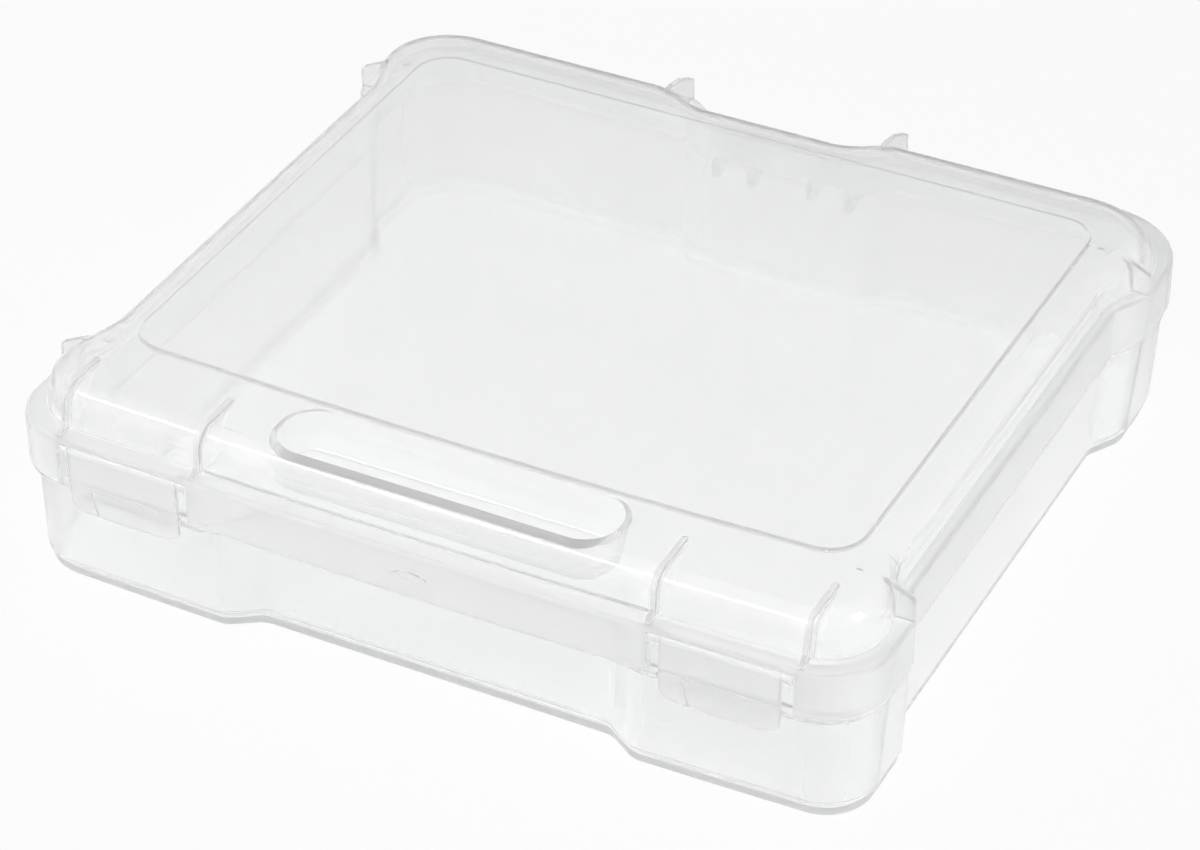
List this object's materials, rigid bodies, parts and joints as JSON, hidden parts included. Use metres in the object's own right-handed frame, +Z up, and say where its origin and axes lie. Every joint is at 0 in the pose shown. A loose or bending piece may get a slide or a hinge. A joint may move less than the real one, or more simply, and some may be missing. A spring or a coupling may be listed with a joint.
{
  "type": "photo keeper case",
  "caption": "Shallow square clear plastic case with a domed hinged lid, front snap latches, a finger well and a handle bar over a notch in the tray.",
  "frame": {"origin": "on the resting face, below the centre of the closed case's bounding box", "axes": "+X along the front to the right, +Y to the hinge at the back, +Z up"},
  "size_m": [0.355, 0.336, 0.087],
  "materials": {
    "tray_plastic": "clear injection-moulded polypropylene, smooth with faint flow marks",
    "lid_plastic": "clear injection-moulded polypropylene, polished dome",
    "latch_plastic": "slightly hazy injection-moulded polypropylene"
  },
  "bodies": {
    "base_tray": {"base_tray": "tray_plastic"},
    "lid": {"lid": "lid_plastic"},
    "latch_left": {"latch_left": "latch_plastic"},
    "latch_right": {"latch_right": "latch_plastic"}
  },
  "joints": [
    {"name": "lid_hinge", "type": "hinge", "parent": "base_tray", "child": "lid", "pos_m": [0, 0.1638, 0.0505], "axis": [-1, 0, 0], "range_deg": [0, 180]},
    {"name": "latch_left_hinge", "type": "hinge", "parent": "lid", "child": "latch_left", "pos_m": [-0.123, -0.1646, 0.0656], "axis": [-1, 0, 0], "range_deg": [0, 90]},
    {"name": "latch_right_hinge", "type": "hinge", "parent": "lid", "child": "latch_right", "pos_m": [0.123, -0.1646, 0.0656], "axis": [-1, 0, 0], "range_deg": [0, 90]}
  ]
}
